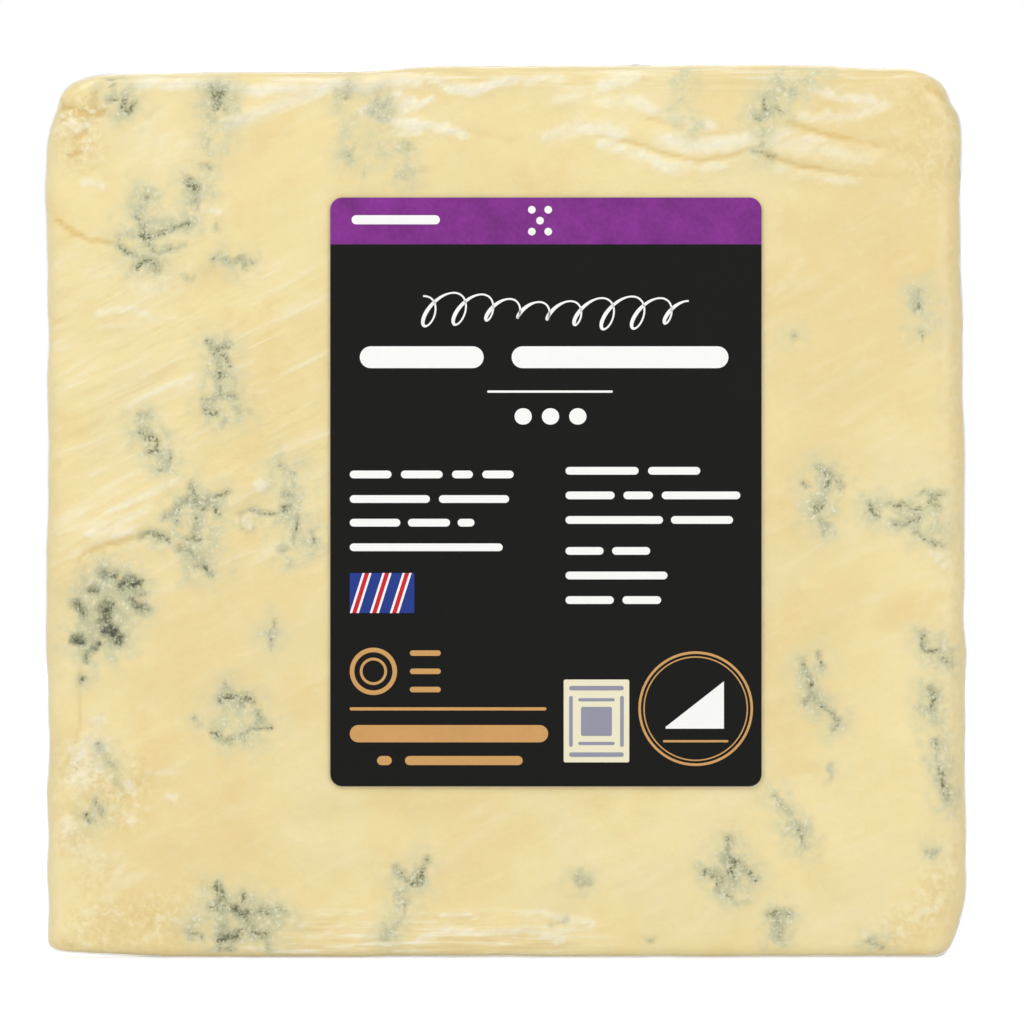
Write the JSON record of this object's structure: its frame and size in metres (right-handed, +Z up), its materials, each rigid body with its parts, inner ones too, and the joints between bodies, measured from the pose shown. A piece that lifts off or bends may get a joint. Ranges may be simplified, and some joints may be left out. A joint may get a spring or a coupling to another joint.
{
  "type": "wrapped cheese wedge",
  "caption": "Tall wedge of blue-veined cheese with its natural rind, tightly wrapped in clear film, with a plain label stuck on one cut face.",
  "frame": {"origin": "middle of the bottom of the whole wrapped wedge, on the surface it stands on", "axes": "+Z up; the labelled cut face looks along -Y; the thin edge, the middle of the wheel, is at -X and the rind at +X"},
  "size_m": [0.1014, 0.039, 0.0983],
  "materials": {
    "cheese": "moist, slightly waxy cream-yellow paste with grey-green veins, and a thin tan-grey rind on the curved side",
    "film": "clear, glossy, tight wrapping film",
    "label": null
  },
  "bodies": {
    "root": {"cheese": "cheese", "film_wrap": "film", "label": "label"}
  },
  "joints": []
}
